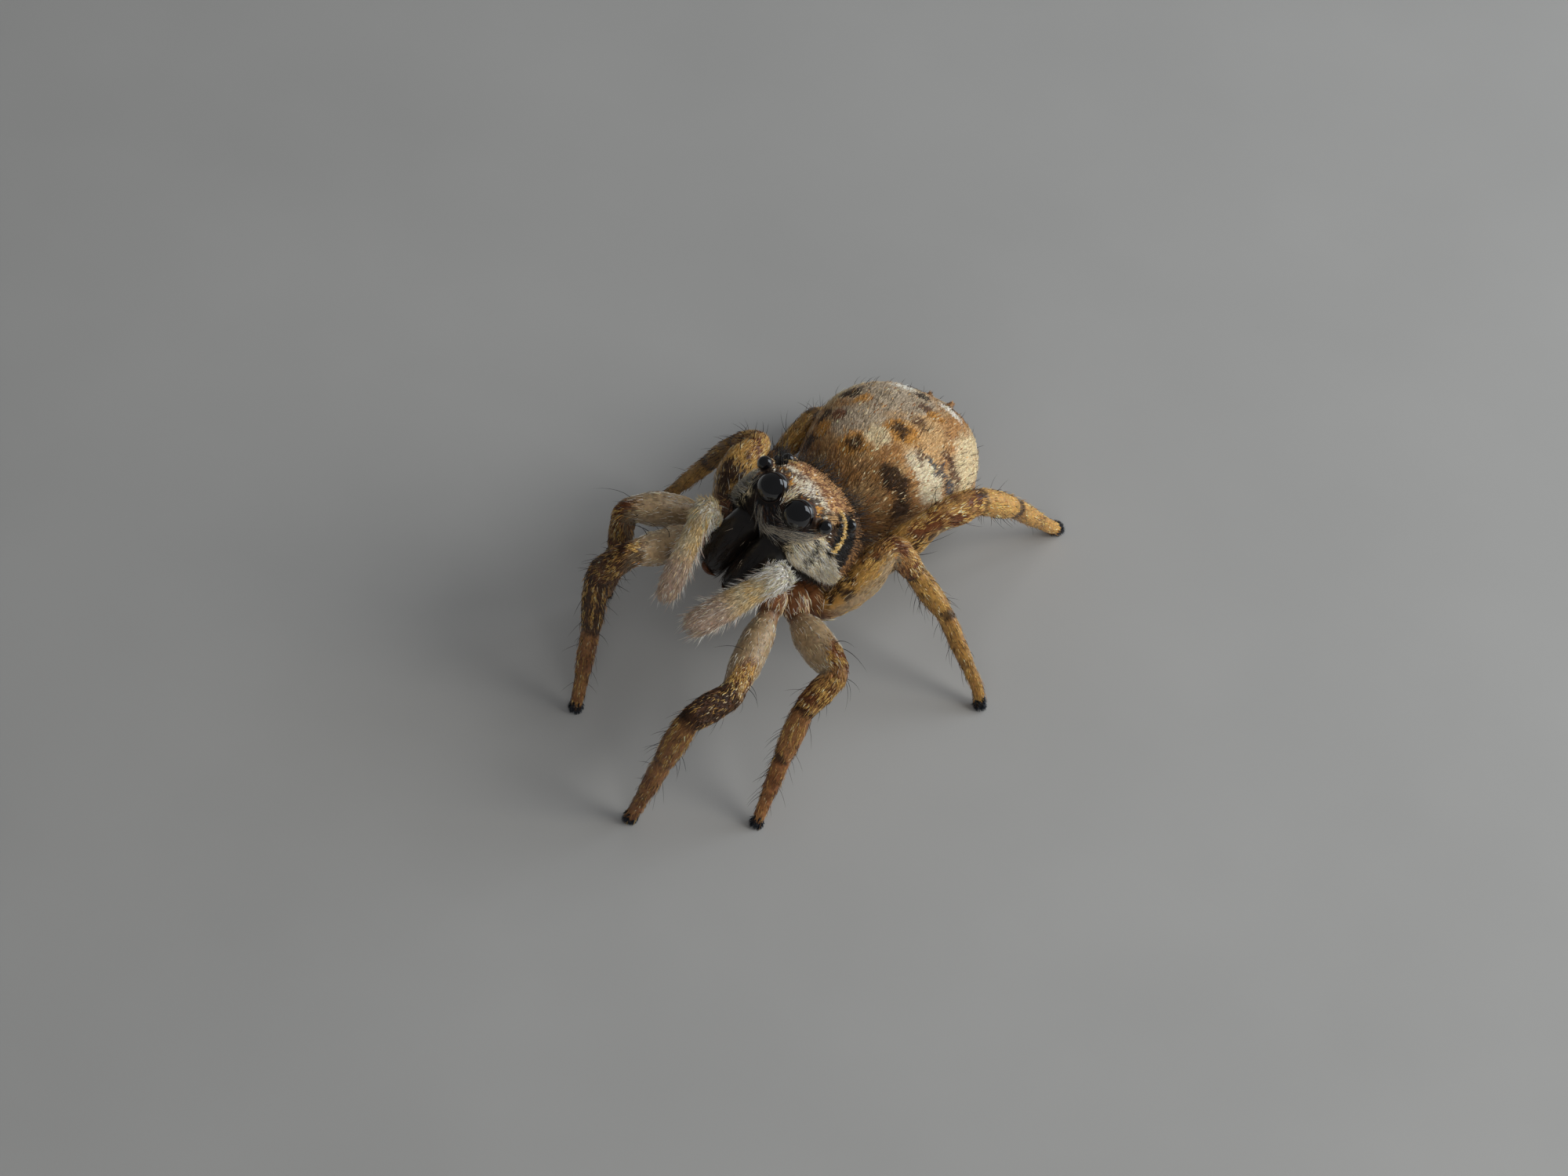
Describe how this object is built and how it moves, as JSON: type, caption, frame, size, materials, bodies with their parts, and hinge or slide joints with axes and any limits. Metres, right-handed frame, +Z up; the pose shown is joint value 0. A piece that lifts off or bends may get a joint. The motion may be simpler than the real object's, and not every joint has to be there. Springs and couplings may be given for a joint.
{
  "type": "jumping spider",
  "caption": "Life-size still model of a jumping spider, a female with banded legs, standing on level ground with its head raised and its large front eyes turned up.",
  "frame": {"origin": "centre of the bounding box at the ground that the feet stand on", "axes": "+Z up, -Y the way the spider faces, +X the spider's left"},
  "size_m": [0.006, 0.0086, 0.0036],
  "materials": {
    "carapace": "matte, with tan and white scales over dark brown",
    "abdomen": "matte, with tan, brown and white scales",
    "underside": "matte brown skin with grey hairs",
    "jaw": "glossy black-brown shell",
    "eye": "polished black lens",
    "palp": "cream skin under long white hairs",
    "leg_base": "satin translucent beige with golden scales",
    "leg_banded": "satin golden brown with dark bands",
    "foot": "satin orange-brown with a black tip",
    "scales": "silky flat scales, white, tan and brown",
    "bristles": "shiny dark bristles"
  },
  "bodies": {
    "root": {"abdomen": "abdomen", "carapace": "carapace", "chelicera_left": "jaw", "chelicera_right": "jaw", "eye_main_left": "eye", "eye_main_right": "eye", "eye_rear_left": "eye", "eye_rear_right": "eye", "eye_side_left": "eye", "eye_side_right": "eye", "leg_left_1_coxa": "leg_base", "leg_left_1_femur": "leg_base", "leg_left_1_foot": "foot", "leg_left_1_patella": "leg_banded", "leg_left_1_tibia": "leg_banded", "leg_left_2_coxa": "leg_base", "leg_left_2_femur": "leg_base", "leg_left_2_foot": "foot", "leg_left_2_patella": "leg_banded", "leg_left_2_tibia": "leg_banded", "leg_left_3_coxa": "leg_base", "leg_left_3_femur": "leg_base", "leg_left_3_foot": "foot", "leg_left_3_patella": "leg_banded", "leg_left_3_tibia": "leg_banded", "leg_left_4_coxa": "leg_base", "leg_left_4_femur": "leg_base", "leg_left_4_foot": "foot", "leg_left_4_patella": "leg_banded", "leg_left_4_tibia": "leg_banded", "leg_right_1_coxa": "leg_base", "leg_right_1_femur": "leg_base", "leg_right_1_foot": "foot", "leg_right_1_patella": "leg_banded", "leg_right_1_tibia": "leg_banded", "leg_right_2_coxa": "leg_base", "leg_right_2_femur": "leg_base", "leg_right_2_foot": "foot", "leg_right_2_patella": "leg_banded", "leg_right_2_tibia": "leg_banded", "leg_right_3_coxa": "leg_base", "leg_right_3_femur": "leg_base", "leg_right_3_foot": "foot", "leg_right_3_patella": "leg_banded", "leg_right_3_tibia": "leg_banded", "leg_right_4_coxa": "leg_base", "leg_right_4_femur": "leg_base", "leg_right_4_foot": "foot", "leg_right_4_patella": "leg_banded", "leg_right_4_tibia": "leg_banded", "mouthparts": "underside", "palp_left_femur": "palp", "palp_left_tarsus": "palp", "palp_right_femur": "palp", "palp_right_tarsus": "palp", "pedicel": "underside", "spinnerets": "underside", "sternum": "underside"}
  },
  "joints": []
}
